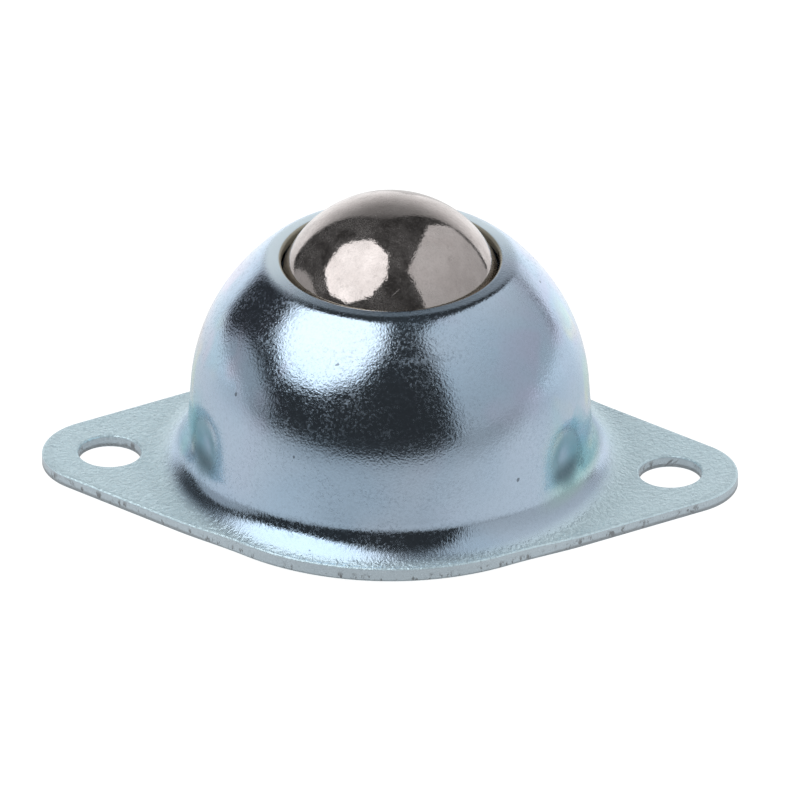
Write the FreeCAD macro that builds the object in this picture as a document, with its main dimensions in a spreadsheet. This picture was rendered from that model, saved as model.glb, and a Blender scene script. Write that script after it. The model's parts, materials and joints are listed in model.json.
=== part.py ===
import FreeCAD, Part
import math
import os

import Sketcher

# Ball castor: a pressed housing with a two-hole flange holds one large ball, which
# rolls on a layer of small load balls in a hardened cup. The cup is seated in a
# pressed pan that closes the underside and is held by four dents in the housing.
# Millimetres. The origin is in the mounting plane on the ball's axis, +X runs along
# the flange and +Z points at the ball.

doc = FreeCAD.newDocument("ball_castor")

# Driving dimensions
SIZES = (
    ("ball_radius", 11.1125, "main ball, 7/8 inch"),
    ("load_ball_radius", 1.984375, "load ball, 5/32 inch"),
    ("load_ball_count", 53, "load balls put in, as far as the cup holds them"),
    ("running_gap", 0.03, "gap on each side of a load ball"),
    ("cup_wall", 1.2, "wall of the race cup"),
    ("cup_rim_angle", 10, "angle of the cup's rim below the ball's equator"),
    ("pan_wall", 1.0, "sheet of the closing pan"),
    ("pan_recess", 1.3, "pan's underside above the mounting plane"),
    ("pan_corner", 1.8, "outside radius of the pan's corner"),
    ("pan_gap", 0.1, "gap between the pan's skirt and the housing wall"),
    ("seat_radius", 5.0, "hole in the pan that the cup is seated in"),
    ("seat_gap", 0.02, "gap between the cup and the edge of that hole"),
    ("skirt_rise", 2.6, "top of the pan's skirt above the dents' centres"),
    ("sheet_wall", 1.2, "sheet of the housing"),
    ("side_room", 1.4, "room between the cup and the housing wall"),
    ("dome_offset", 0.8, "distance of the dome's arc centre from the axis"),
    ("wall_lean", 4.0, "outward lean of the wall towards the flange, in degrees"),
    ("foot_bend", 4.0, "inside radius of the bend from wall to flange"),
    ("shoulder_bend", 6.0, "inside radius of the dome's shoulder, next to the lip"),
    ("shoulder_angle", 48.0, "latitude on the dome where the shoulder begins, in degrees"),
    ("lip_latitude", 23.0, "latitude on the ball where the lip holds it, in degrees"),
    ("lip_gap", 0.15, "gap between the ball and the lip"),
    ("lip_round", 0.45, "rounding of the lip's upper edge"),
    ("waist_ledge", 2.76, "flange's waist beyond the widest part of the dome"),
    ("fixing_spacing", 53.4, "distance between the fixing holes"),
    ("fixing_radius", 3.0, "fixing hole"),
    ("ear_radius", 6.45, "rounded end of the flange"),
    ("rollover", 0.25, "rounded upper edge that the blanking punch leaves"),
    ("dent_rise", 1.4, "dents' centres above the centre of the foot bend"),
    ("dent_bearing", 22.0, "dents' bearing from the flange's long axis, in degrees"),
    ("dent_punch", 3.7, "radius of the round punch that presses the dents"),
    ("dent_depth", 1.1, "depth of a dent"),
    ("dent_edge", 1.3, "rounding around a dent on the outside"),
)

dims = doc.addObject("Spreadsheet::Sheet", "dims")
for row, (alias, value, meaning) in enumerate(SIZES, start=1):
    dims.set(f"A{row}", alias)
    dims.set(f"B{row}", str(value))
    dims.set(f"C{row}", meaning)
    dims.setAlias(f"B{row}", alias)
doc.recompute()

# Values that follow from the driving dimensions
DERIVED = (
    ("pitch_radius", "dims.ball_radius + dims.running_gap + dims.load_ball_radius"),
    ("cup_inner", "derived.pitch_radius + dims.load_ball_radius + dims.running_gap"),
    ("cup_outer", "derived.cup_inner + dims.cup_wall"),
    ("pan_floor", "dims.pan_recess + dims.pan_wall"),
    ("ball_height", "derived.pan_floor"
                    " + sqrt((derived.cup_outer + dims.seat_gap)^2 - dims.seat_radius^2)"),
    ("row_angle", "asin((2 * dims.load_ball_radius + dims.running_gap) / derived.pitch_radius)"),
    ("wall_outer", "derived.cup_outer + dims.side_room + dims.sheet_wall"),
    ("dome_outer", "derived.wall_outer - dims.dome_offset"),
    ("dome_inner", "derived.dome_outer - dims.sheet_wall"),
    ("lip_reach", "dims.ball_radius + dims.lip_gap"),
    ("lip_radius", "derived.lip_reach * cos(dims.lip_latitude)"),
    ("lip_height", "derived.ball_height + derived.lip_reach * sin(dims.lip_latitude)"),
    ("shoulder_x", "dims.dome_offset + (derived.dome_inner - dims.shoulder_bend) * cos(dims.shoulder_angle)"),
    ("shoulder_z", "derived.lip_height"
                   " - sqrt(dims.shoulder_bend^2 - (derived.lip_radius - derived.shoulder_x)^2)"),
    ("dome_height", "derived.shoulder_z"
                    " - (derived.dome_inner - dims.shoulder_bend) * sin(dims.shoulder_angle)"),
    ("foot_centre", "dims.dome_offset + (derived.dome_outer + dims.foot_bend"
                    " - (dims.sheet_wall + dims.foot_bend - derived.dome_height) * sin(dims.wall_lean))"
                    " / cos(dims.wall_lean)"),
    ("waist_radius", "dims.dome_offset + derived.dome_outer + dims.waist_ledge"),
    ("blank_radius", "dims.fixing_spacing / 2 + dims.ear_radius + dims.sheet_wall"),
    ("dent_height", "dims.sheet_wall + dims.foot_bend + dims.dent_rise"),
    ("dent_wall", "dims.dome_offset + (derived.dome_outer - (derived.dent_height - derived.dome_height)"
                  " * sin(dims.wall_lean)) / cos(dims.wall_lean)"),
    ("dent_centre", "derived.dent_wall + dims.dent_punch - dims.dent_depth"),
    ("skirt_top", "derived.dent_height + dims.skirt_rise"),
    ("skirt_outer", "dims.dome_offset + (derived.dome_inner - (derived.skirt_top - derived.dome_height)"
                    " * sin(dims.wall_lean)) / cos(dims.wall_lean) - dims.pan_gap"),
    ("pan_punch", "dims.dent_punch + dims.sheet_wall + dims.pan_gap"),
)

derived = doc.addObject("App::VarSet", "derived")
for name, expression in DERIVED:
    derived.addProperty("App::PropertyFloat", name, "Derived")
    derived.setExpression(name, expression)
doc.recompute()


def size(name):
    """A driving or derived value as a number, for first guesses and for counting."""
    if hasattr(derived, name):
        return float(getattr(derived, name))
    return float(getattr(dims, name))


X_AXIS = -1
Y_AXIS = X_AXIS - 1
ORIGIN = -1
START = 1
END = START + 1
CENTRE = END + 1
REACH = 1e-4


def new_body(label):
    body = doc.addObject("PartDesign::Body", label)
    body.Label = label
    return body


def plane_of(body, role):
    return [feature for feature in body.Origin.OriginFeatures if feature.Role == role][0]


def new_sketch(body, name, role):
    sketch = body.newObject("Sketcher::SketchObject", name)
    sketch.AttachmentSupport = (plane_of(body, role), "")
    sketch.MapMode = "FlatFace"
    return sketch


def line(x1, y1, x2, y2):
    return Part.LineSegment(FreeCAD.Vector(x1, y1, 0), FreeCAD.Vector(x2, y2, 0))


def circle(x, y, radius):
    return Part.Circle(FreeCAD.Vector(x, y, 0), FreeCAD.Vector(0, 0, 1), radius)


def arc(x, y, radius, start, end):
    """An arc that runs anticlockwise between two angles in degrees."""
    return Part.ArcOfCircle(circle(x, y, radius), math.radians(start), math.radians(end))


def drive(sketch, kind, *where, by, guess):
    """A dimension of the sketch, bound to an expression of the sheet."""
    index = sketch.addConstraint(Sketcher.Constraint(kind, *where, guess))
    sketch.setExpression(f"Constraints[{index}]", by)


def tie(sketch, kind, *where):
    sketch.addConstraint(Sketcher.Constraint(kind, *where))


def revolve(body, sketch, name, kind="PartDesign::Revolution", axis="V_Axis"):
    feature = body.newObject(kind, name)
    feature.Profile = sketch
    feature.ReferenceAxis = (sketch, [axis])
    feature.Angle = 360
    return feature


def cut_through(body, sketch, name):
    """Cuts the sketch's area upwards through the whole body."""
    pocket = body.newObject("PartDesign::Pocket", name)
    pocket.Profile = sketch
    pocket.Type = "ThroughAll"
    pocket.Reversed = True
    return pocket


def faces_at(shape, edge):
    return shape.ancestorsOfType(edge, Part.Face)


def is_upright(face):
    """True for a wall that was cut straight up: a plane or a cylinder along Z."""
    surface = face.Surface
    if isinstance(surface, Part.Plane):
        return abs(surface.Axis.z) < REACH
    return isinstance(surface, Part.Cylinder) and abs(surface.Axis.z) > 1 - REACH


def round_edges(body, base, name, wanted, radius):
    """Rounds the edges of base for which wanted(shape, edge) holds."""
    doc.recompute()
    shape = base.Shape
    names = [f"Edge{i}" for i, edge in enumerate(shape.Edges, start=1) if wanted(shape, edge)]
    fillet = body.newObject("PartDesign::Fillet", name)
    fillet.Base = (base, names)
    fillet.setExpression("Radius", radius)
    return fillet


def housing_section(body):
    """Half section of the sheet: flange, foot bend, leaning wall, dome, shoulder and lip."""
    sheet = size("sheet_wall")
    bend = size("foot_bend")
    lean = size("wall_lean")
    offset = size("dome_offset")
    dome = size("dome_height")
    outer = size("dome_outer")
    inner = size("dome_inner")
    foot = size("foot_centre")
    blank = size("blank_radius")
    lip = size("lip_radius")
    shoulder_x = size("shoulder_x")
    shoulder_z = size("shoulder_z")
    under_bend = size("shoulder_bend")
    over_bend = under_bend + sheet
    start = size("shoulder_angle")
    foot_up = sheet + bend
    turn = 180 + lean
    tilt = math.radians(lean)

    def on_arc(x, y, radius):
        return x + radius * math.cos(tilt), y + radius * math.sin(tilt)

    top_outer = math.degrees(math.acos((lip - shoulder_x) / over_bend))
    top_inner = math.degrees(math.acos((lip - shoulder_x) / under_bend))
    lip_top = shoulder_z + over_bend * math.sin(math.radians(top_outer))
    lip_bottom = size("lip_height")

    sketch = new_sketch(body, "housing_section", "XZ_Plane")
    geometry = [
        line(foot, 0, blank, 0),
        line(blank, 0, blank, sheet),
        line(blank, sheet, foot, sheet),
        arc(foot, foot_up, bend, turn, 270),
        line(*on_arc(foot, foot_up, -bend), *on_arc(offset, dome, outer)),
        arc(offset, dome, outer, lean, start),
        arc(shoulder_x, shoulder_z, over_bend, start, top_outer),
        line(lip, lip_top, lip, lip_bottom),
        arc(shoulder_x, shoulder_z, under_bend, start, top_inner),
        arc(offset, dome, inner, lean, start),
        line(*on_arc(offset, dome, inner), *on_arc(foot, foot_up, -foot_up)),
        arc(foot, foot_up, foot_up, turn, 270),
    ]
    sketch.addGeometry(geometry, False)
    under, edge, upper, bend_in, wall_out, dome_out = range(6)
    over, lip_edge, below, dome_in, wall_in, bend_out = range(6, 12)
    tie(sketch, "Coincident", under, END, edge, START)
    tie(sketch, "Coincident", edge, END, upper, START)
    tie(sketch, "Tangent", upper, END, bend_in, END)
    tie(sketch, "Tangent", bend_in, START, wall_out, START)
    tie(sketch, "Tangent", wall_out, END, dome_out, START)
    tie(sketch, "Tangent", dome_out, END, over, START)
    tie(sketch, "Coincident", over, END, lip_edge, START)
    tie(sketch, "Coincident", lip_edge, END, below, END)
    tie(sketch, "Tangent", below, START, dome_in, END)
    tie(sketch, "Tangent", dome_in, START, wall_in, START)
    tie(sketch, "Tangent", wall_in, END, bend_out, START)
    tie(sketch, "Tangent", bend_out, END, under, START)
    tie(sketch, "Coincident", bend_in, CENTRE, bend_out, CENTRE)
    tie(sketch, "Coincident", dome_out, CENTRE, dome_in, CENTRE)
    tie(sketch, "Coincident", over, CENTRE, below, CENTRE)
    tie(sketch, "Horizontal", upper)
    tie(sketch, "Vertical", edge)
    tie(sketch, "Vertical", lip_edge)
    tie(sketch, "PointOnObject", under, START, X_AXIS)
    tie(sketch, "PointOnObject", under, END, X_AXIS)
    drive(sketch, "DistanceX", ORIGIN, START, under, END, by="derived.blank_radius", guess=blank)
    drive(sketch, "DistanceY", edge, START, edge, END, by="dims.sheet_wall", guess=sheet)
    drive(sketch, "Radius", bend_in, by="dims.foot_bend", guess=bend)
    drive(sketch, "DistanceX", ORIGIN, START, bend_in, CENTRE, by="derived.foot_centre", guess=foot)
    drive(sketch, "DistanceX", ORIGIN, START, dome_out, CENTRE, by="dims.dome_offset", guess=offset)
    drive(sketch, "DistanceY", ORIGIN, START, dome_out, CENTRE, by="derived.dome_height", guess=dome)
    drive(sketch, "Radius", dome_out, by="derived.dome_outer", guess=outer)
    drive(sketch, "Radius", dome_in, by="derived.dome_inner", guess=inner)
    drive(sketch, "DistanceX", ORIGIN, START, over, CENTRE, by="derived.shoulder_x", guess=shoulder_x)
    drive(sketch, "Radius", below, by="dims.shoulder_bend", guess=under_bend)
    drive(sketch, "DistanceX", ORIGIN, START, lip_edge, START, by="derived.lip_radius", guess=lip)
    return sketch


def flange_outline(body):
    """What the blanking punch cuts away: all that lies outside the rounded diamond."""
    half = size("fixing_spacing") / 2
    waist = size("waist_radius")
    ear = size("ear_radius")
    blank = size("blank_radius") + size("sheet_wall")
    slope = math.degrees(math.acos((waist - ear) / half))

    def at(x, radius, angle):
        return x + radius * math.cos(math.radians(angle)), radius * math.sin(math.radians(angle))

    sketch = new_sketch(body, "flange_outline", "XY_Plane")
    sketch.addGeometry([
        circle(0, 0, blank),
        arc(half, 0, ear, -slope, slope),
        line(*at(half, ear, slope), *at(0, waist, slope)),
        arc(0, 0, waist, slope, 180 - slope),
        line(*at(0, waist, 180 - slope), *at(-half, ear, 180 - slope)),
        arc(-half, 0, ear, 180 - slope, 180 + slope),
        line(*at(-half, ear, 180 + slope), *at(0, waist, 180 + slope)),
        arc(0, 0, waist, 180 + slope, 360 - slope),
        line(*at(0, waist, 360 - slope), *at(half, ear, 360 - slope)),
    ], False)
    scrap, right, back_right, back, back_left, left, front_left, front, front_right = range(9)
    tie(sketch, "Coincident", scrap, CENTRE, ORIGIN, START)
    tie(sketch, "Coincident", back, CENTRE, ORIGIN, START)
    tie(sketch, "Coincident", front, CENTRE, ORIGIN, START)
    tie(sketch, "PointOnObject", right, CENTRE, X_AXIS)
    tie(sketch, "PointOnObject", left, CENTRE, X_AXIS)
    tie(sketch, "Equal", back, front)
    tie(sketch, "Equal", right, left)
    for first, second in (
        (right, back_right),
        (back_right, back),
        (back, back_left),
        (back_left, left),
        (left, front_left),
        (front_left, front),
        (front, front_right),
    ):
        tie(sketch, "Tangent", first, END, second, START)
    tie(sketch, "Tangent", front_right, END, right, START)
    drive(sketch, "Radius", scrap, by="derived.blank_radius + dims.sheet_wall", guess=blank)
    drive(sketch, "Radius", back, by="derived.waist_radius", guess=waist)
    drive(sketch, "Radius", right, by="dims.ear_radius", guess=ear)
    drive(sketch, "DistanceX", ORIGIN, START, right, CENTRE, by="dims.fixing_spacing / 2", guess=half)
    drive(sketch, "DistanceX", left, CENTRE, ORIGIN, START, by="dims.fixing_spacing / 2", guess=half)
    return sketch


def fixing_holes(body):
    half = size("fixing_spacing") / 2
    radius = size("fixing_radius")
    sketch = new_sketch(body, "fixing_holes", "XY_Plane")
    sketch.addGeometry([circle(half, 0, radius), circle(-half, 0, radius)], False)
    tie(sketch, "PointOnObject", 0, CENTRE, X_AXIS)
    tie(sketch, "PointOnObject", 1, CENTRE, X_AXIS)
    tie(sketch, "Equal", 0, 1)
    drive(sketch, "Radius", 0, by="dims.fixing_radius", guess=radius)
    drive(sketch, "DistanceX", ORIGIN, START, 0, CENTRE, by="dims.fixing_spacing / 2", guess=half)
    drive(sketch, "DistanceX", 1, CENTRE, ORIGIN, START, by="dims.fixing_spacing / 2", guess=half)
    return sketch


def value_of(expression):
    return float(derived.evalExpression(expression))


def cap_section(body, name, radius, face):
    """Half section of a spherical cap on a dent's axis, cut off by a flat face.

    radius and face are expressions: the sphere's radius about the punch's centre,
    and the distance of the flat face from the castor's axis.
    """
    centre = size("dent_centre")
    height = size("dent_height")
    ball = value_of(radius)
    flat = value_of(face)
    rise = math.sqrt(ball ** 2 - (centre - flat) ** 2)
    tip = centre - ball
    start = 180 - math.degrees(math.atan2(rise, centre - flat))

    sketch = new_sketch(body, name, "XZ_Plane")
    turn = FreeCAD.Rotation(FreeCAD.Vector(0, 1, 0), size("dent_bearing"))
    sketch.AttachmentOffset = FreeCAD.Placement(FreeCAD.Vector(0, 0, 0), turn)
    sketch.setExpression("AttachmentOffset.Rotation.Angle", "dims.dent_bearing")
    sketch.addGeometry([
        arc(centre, height, ball, start, 180),
        line(tip, height, flat, height),
        line(flat, height, flat, height + rise),
    ], False)
    bow, along, face_line = range(3)
    tie(sketch, "Coincident", bow, END, along, START)
    tie(sketch, "Coincident", along, END, face_line, START)
    tie(sketch, "Coincident", face_line, END, bow, START)
    tie(sketch, "Horizontal", along)
    tie(sketch, "Vertical", face_line)
    drive(sketch, "Radius", bow, by=radius, guess=ball)
    drive(sketch, "DistanceX", ORIGIN, START, bow, CENTRE, by="derived.dent_centre", guess=centre)
    drive(sketch, "DistanceY", ORIGIN, START, bow, CENTRE, by="derived.dent_height", guess=height)
    drive(sketch, "DistanceY", ORIGIN, START, along, START, by="derived.dent_height", guess=height)
    drive(sketch, "DistanceX", ORIGIN, START, along, END, by=face, guess=flat)
    return sketch


def press_dents(body, label, punch, wall, outside):
    """Four dents, each the metal that bulges inwards and the hollow left by the punch.

    punch is the radius that presses this sheet, wall its thickness and outside the
    distance of its outer face from the castor's axis.
    """
    bulge_sketch = cap_section(body, f"{label}_bulge_section", f"{punch} + {wall}", f"{outside} - {wall} / 2")
    bulge = revolve(body, bulge_sketch, f"{label}_bulge", axis="Edge2")
    hollow_sketch = cap_section(body, f"{label}_hollow_section", punch, f"{outside} + {wall}")
    hollow = revolve(body, hollow_sketch, f"{label}_hollow", kind="PartDesign::Groove", axis="Edge2")
    doc.recompute()
    dents = body.newObject("PartDesign::MultiTransform", f"{label}_dents")
    dents.Originals = [bulge, hollow]
    mirrors = []
    for role in ("XZ_Plane", "YZ_Plane"):
        mirror = body.newObject("PartDesign::Mirrored", f"{label}_mirror_{role[:2].lower()}")
        mirror.MirrorPlane = (plane_of(body, role), [""])
        mirrors.append(mirror)
    dents.Transformations = mirrors
    body.Tip = dents
    return dents


def make_housing():
    body = new_body("housing")
    revolve(body, housing_section(body), "pressed_shell")
    cut_through(body, flange_outline(body), "blanked_outline")
    holes = cut_through(body, fixing_holes(body), "punched_holes")
    lip = size("lip_radius")
    sheet = size("sheet_wall")

    def over_lip(shape, edge):
        curve = edge.Curve
        if not isinstance(curve, Part.Circle) or abs(curve.Radius - lip) > REACH:
            return False
        return curve.Center.z > size("lip_height") + REACH

    def over_cut(shape, edge):
        box = edge.BoundBox
        low = box.ZMin > sheet / 2 and box.ZMax < sheet + size("foot_bend") / 2
        return low and any(is_upright(face) for face in faces_at(shape, edge))

    def round_dent(shape, edge):
        faces = faces_at(shape, edge)
        pressed = [
            isinstance(face.Surface, Part.Sphere) and abs(face.Surface.Radius - size("dent_punch")) < REACH
            for face in faces
        ]
        return len(faces) > 1 and any(pressed) and not all(pressed)

    lip_edge = round_edges(body, holes, "rounded_lip", over_lip, "dims.lip_round")
    round_edges(body, lip_edge, "rolled_edges", over_cut, "dims.rollover")
    dents = press_dents(body, "housing", "dims.dent_punch", "dims.sheet_wall", "derived.dent_wall")
    round_edges(body, dents, "soft_dents", round_dent, "dims.dent_edge")
    return body


def make_pan():
    body = new_body("closing_pan")
    seat = size("seat_radius")
    outer = size("skirt_outer")
    wall = size("pan_wall")
    under = size("pan_recess")
    floor = size("pan_floor")
    top = size("skirt_top")
    corner = size("pan_corner")
    turn = outer - corner
    sketch = new_sketch(body, "pan_section", "XZ_Plane")
    sketch.addGeometry([
        line(seat, under, turn, under),
        arc(turn, under + corner, corner, 270, 360),
        line(outer, under + corner, outer, top),
        line(outer, top, outer - wall, top),
        line(outer - wall, top, outer - wall, under + corner),
        arc(turn, under + corner, corner - wall, 270, 360),
        line(turn, floor, seat, floor),
        line(seat, floor, seat, under),
    ], False)
    bottom, bend_out, side_out, rim, side_in, bend_in, plate, hole = range(8)
    tie(sketch, "Tangent", bottom, END, bend_out, START)
    tie(sketch, "Tangent", bend_out, END, side_out, START)
    tie(sketch, "Coincident", side_out, END, rim, START)
    tie(sketch, "Coincident", rim, END, side_in, START)
    tie(sketch, "Tangent", side_in, END, bend_in, END)
    tie(sketch, "Tangent", bend_in, START, plate, START)
    tie(sketch, "Coincident", plate, END, hole, START)
    tie(sketch, "Coincident", hole, END, bottom, START)
    tie(sketch, "Coincident", bend_out, CENTRE, bend_in, CENTRE)
    tie(sketch, "Horizontal", bottom)
    tie(sketch, "Horizontal", plate)
    tie(sketch, "Horizontal", rim)
    tie(sketch, "Vertical", hole)
    drive(sketch, "DistanceX", ORIGIN, START, bottom, START, by="dims.seat_radius", guess=seat)
    drive(sketch, "DistanceY", ORIGIN, START, bottom, START, by="dims.pan_recess", guess=under)
    drive(sketch, "DistanceX", ORIGIN, START, side_out, END, by="derived.skirt_outer", guess=outer)
    drive(sketch, "DistanceY", ORIGIN, START, side_out, END, by="derived.skirt_top", guess=top)
    drive(sketch, "DistanceX", rim, END, rim, START, by="dims.pan_wall", guess=wall)
    drive(sketch, "Radius", bend_out, by="dims.pan_corner", guess=corner)
    revolve(body, sketch, "drawn_pan")
    press_dents(body, "pan", "derived.pan_punch", "dims.pan_wall", "derived.skirt_outer")
    return body


def make_cup():
    """A bowl about the ball's centre, with its rim below the ball's equator."""
    body = new_body("race_cup")
    inner = size("cup_inner")
    outer = size("cup_outer")
    height = size("ball_height")
    rim = size("cup_rim_angle")
    drop = math.radians(-rim)
    sketch = new_sketch(body, "cup_section", "XZ_Plane")
    sketch.addGeometry([
        line(0, height - inner, 0, height - outer),
        arc(0, height, outer, 270, 360 - rim),
        line(
            outer * math.cos(drop), height + outer * math.sin(drop),
            inner * math.cos(drop), height + inner * math.sin(drop),
        ),
        arc(0, height, inner, 270, 360 - rim),
    ], False)
    sketch.addGeometry(line(0, height, inner * math.cos(drop), height + inner * math.sin(drop)), True)
    axis, back, lip, race, spoke = range(5)
    tie(sketch, "PointOnObject", back, CENTRE, Y_AXIS)
    tie(sketch, "Coincident", back, CENTRE, race, CENTRE)
    tie(sketch, "PointOnObject", axis, START, Y_AXIS)
    tie(sketch, "PointOnObject", axis, END, Y_AXIS)
    tie(sketch, "Coincident", axis, END, back, START)
    tie(sketch, "Coincident", back, END, lip, START)
    tie(sketch, "Coincident", lip, END, race, END)
    tie(sketch, "Coincident", race, START, axis, START)
    tie(sketch, "Coincident", spoke, START, back, CENTRE)
    tie(sketch, "Coincident", spoke, END, race, END)
    tie(sketch, "Parallel", spoke, lip)
    drive(sketch, "Radius", race, by="derived.cup_inner", guess=inner)
    drive(sketch, "Radius", back, by="derived.cup_outer", guess=outer)
    drive(sketch, "DistanceY", ORIGIN, START, back, CENTRE, by="derived.ball_height", guess=height)
    drive(sketch, "DistanceY", spoke, END, spoke, START,
          by="derived.cup_inner * sin(dims.cup_rim_angle)", guess=-inner * math.sin(drop))
    revolve(body, sketch, "drawn_bowl")
    return body


def make_ball(label, radius, x, y, z):
    """A ball whose radius and centre are bound to expressions."""
    ball = doc.addObject("Part::Sphere", label)
    ball.Label = label
    ball.setExpression("Radius", radius)
    for axis, place in zip("xyz", (x, y, z)):
        ball.setExpression(f"Placement.Base.{axis}", place)
    return ball


def make_load_balls():
    """Rows of load balls round the cup's bottom ball, as many to a row as go in."""
    half_pitch = size("load_ball_radius") + size("running_gap") / 2
    row_angle = size("row_angle")
    last_row = (90 - size("cup_rim_angle")) / row_angle - 1 / 2
    places = [(0, 0, 1)]
    row = 1
    while row <= last_row:
        ring = size("pitch_radius") * math.sin(math.radians(row * row_angle))
        count = int(math.pi / math.asin(half_pitch / ring) + REACH)
        places += [(row, place, count) for place in range(count)]
        row += 1
    balls = []
    for number, (row, place, count) in enumerate(places[:int(size("load_ball_count"))], start=1):
        out = f"derived.pitch_radius * sin({row} * derived.row_angle)"
        balls.append(make_ball(
            f"load_ball_{number:02d}",
            "dims.load_ball_radius",
            f"{out} * cos({place} * 360 / {count})",
            f"{out} * sin({place} * 360 / {count})",
            f"derived.ball_height - derived.pitch_radius * cos({row} * derived.row_angle)",
        ))
    return balls


def write_parts(parts):
    """Checks every object of the document, then writes one file for each piece."""
    doc.recompute()
    for item in doc.Objects:
        if "Invalid" in item.State or "Error" in item.State:
            raise RuntimeError(f"{item.Label} failed: {item.State}")
    for part in parts:
        if part.Shape.isNull() or not part.Shape.isValid():
            raise RuntimeError(f"{part.Label} has no valid shape")
    os.makedirs("parts", exist_ok=True)
    for part in parts:
        part.Shape.exportStep(f"parts/{part.Label}.step")


parts = [make_housing(), make_pan(), make_cup()]
parts.append(make_ball("main_ball", "dims.ball_radius", "0", "0", "derived.ball_height"))
parts += make_load_balls()
write_parts(parts)
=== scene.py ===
import json
import math
from types import SimpleNamespace

import bmesh
import bpy
import numpy as np
from mathutils import Matrix, Vector


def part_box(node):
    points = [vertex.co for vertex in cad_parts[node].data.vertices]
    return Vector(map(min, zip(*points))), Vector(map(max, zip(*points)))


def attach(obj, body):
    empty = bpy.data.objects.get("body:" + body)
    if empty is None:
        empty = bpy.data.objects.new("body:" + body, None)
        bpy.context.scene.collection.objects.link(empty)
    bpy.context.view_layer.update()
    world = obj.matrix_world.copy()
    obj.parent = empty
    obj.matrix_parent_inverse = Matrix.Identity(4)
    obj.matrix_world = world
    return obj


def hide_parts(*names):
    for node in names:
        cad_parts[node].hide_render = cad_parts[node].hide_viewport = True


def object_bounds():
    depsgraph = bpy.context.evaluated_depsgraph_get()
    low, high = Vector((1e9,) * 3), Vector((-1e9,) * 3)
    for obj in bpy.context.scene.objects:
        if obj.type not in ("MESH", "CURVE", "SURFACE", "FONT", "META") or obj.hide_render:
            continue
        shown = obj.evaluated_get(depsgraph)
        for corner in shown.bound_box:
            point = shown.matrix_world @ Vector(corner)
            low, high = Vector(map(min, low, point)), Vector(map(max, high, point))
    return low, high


# Looks of the ball castor: a zinc plated pressed housing round a polished steel ball.
# Metres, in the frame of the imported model: +X along the flange, +Z towards the ball.

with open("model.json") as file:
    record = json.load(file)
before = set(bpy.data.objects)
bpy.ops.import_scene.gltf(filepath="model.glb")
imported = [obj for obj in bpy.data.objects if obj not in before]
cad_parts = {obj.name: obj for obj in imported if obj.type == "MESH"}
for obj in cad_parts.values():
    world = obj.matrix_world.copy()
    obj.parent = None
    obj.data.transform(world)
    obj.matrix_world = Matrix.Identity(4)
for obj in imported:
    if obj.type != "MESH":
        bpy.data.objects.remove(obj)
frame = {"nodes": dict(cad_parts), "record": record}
cad_low, cad_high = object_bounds()
MM = 0.001
UP = Vector((0, 0, 1))

# Sizes read from the frame
ball_low, ball_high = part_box("main_ball")
ball_centre = (ball_low + ball_high) / 2
housing_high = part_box("housing")[1]
holes = next(m for m in frame["record"]["mounts"] if m["name"] == "fixing_holes")
half_spacing = holes["dims"]["spacing_x_mm"] * MM / 2
hole_radius = holes["dims"]["hole_r_mm"] * MM
waist = housing_high.y
ear = housing_high.x - half_spacing

# Section of the pressed sheet, in a plane through the axis
SHEET = 1.2 * MM
LEAN = math.radians(4.0)
DOME_OFFSET = 0.8 * MM
DOME_HEIGHT = 8.5845 * MM
DOME_RADIUS = 18.141 * MM
LAND = math.radians(82.0)
LIP_RADIUS = 10.367 * MM
LIP_ROUND = 0.3 * MM
FOOT_BEND = 4.0 * MM
FOOT_CENTRE = 23.232 * MM
FOOT_UP = SHEET + FOOT_BEND
ROLLOVER = 0.25 * MM
BURR = 0.06 * MM

# Arcs of the outer side above the wall: radius, slope at the arc's end, points along it
DOME_ARCS = (
    (DOME_RADIUS, math.radians(36.0), 34),
    (19.91 * MM, math.radians(46.0), 8),
    (10.06 * MM, math.radians(53.0), 6),
    (2.1 * MM, LAND, 6),
)

# Shoulder of the inner side, which carries on from the dome's arc
SHOULDER_X = 8.121 * MM
SHOULDER_Z = 16.715 * MM
SHOULDER_RADIUS = 7.2 * MM
SHOULDER_START = math.radians(48.0)

# Dents in the wall
DENT_HEIGHT = 6.6 * MM
DENT_BEARINGS = [math.radians(a) for a in (25.5, 156.0, 205.5, 336.0)]
DENT_DEPTH = 0.62 * MM
DENT_WIDE = 2.4 * MM
DENT_TALL = 2.3 * MM
DENT_FADE_LOW = 2.4 * MM
DENT_FADE_HIGH = 5.8 * MM

# Points round the axis and round a hole, and the sharpest edge that is shaded smooth
SEGMENTS = 512
HOLE_SEGMENTS = 96
FLARE_END = math.radians(78)
SMOOTH_BELOW = math.radians(50)


# The housing's mesh

def outline(angle, inset=0.0):
    """Distance of the flange's outline from the axis, drawn in by inset all round."""
    waist_in = waist - inset
    ear_in = ear - inset
    slope = math.acos((waist_in - ear_in) / half_spacing)
    turn = math.atan2(abs(math.sin(angle)), abs(math.cos(angle)))
    corner = math.atan2(ear_in * math.sin(slope), half_spacing + ear_in * math.cos(slope))
    if turn >= slope:
        return waist_in
    if turn >= corner:
        return waist_in / math.cos(slope - turn)
    across = half_spacing * math.sin(turn)
    return half_spacing * math.cos(turn) + math.sqrt(ear_in ** 2 - across ** 2)


def flange_height(radius, bend):
    """Height of the foot bend and the flange; bend is the bend's radius on that side."""
    if radius >= FOOT_CENTRE:
        return FOOT_UP - bend
    return FOOT_UP - math.sqrt(max(bend ** 2 - (FOOT_CENTRE - radius) ** 2, 0.0))


def spread(first, last, count):
    """Evenly spaced values after the first one, up to the last."""
    return np.linspace(first, last, count + 1)[1:]


def on_arc(x, z, radius, angle):
    return x + radius * math.cos(angle), z + radius * math.sin(angle)


def on_line(start, end, count):
    """Points that divide a straight run evenly, without its start."""
    run_x, run_z = end[0] - start[0], end[1] - start[1]
    return [(start[0] + run_x * t, start[1] + run_z * t) for t in spread(0, 1, count)]


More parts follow.
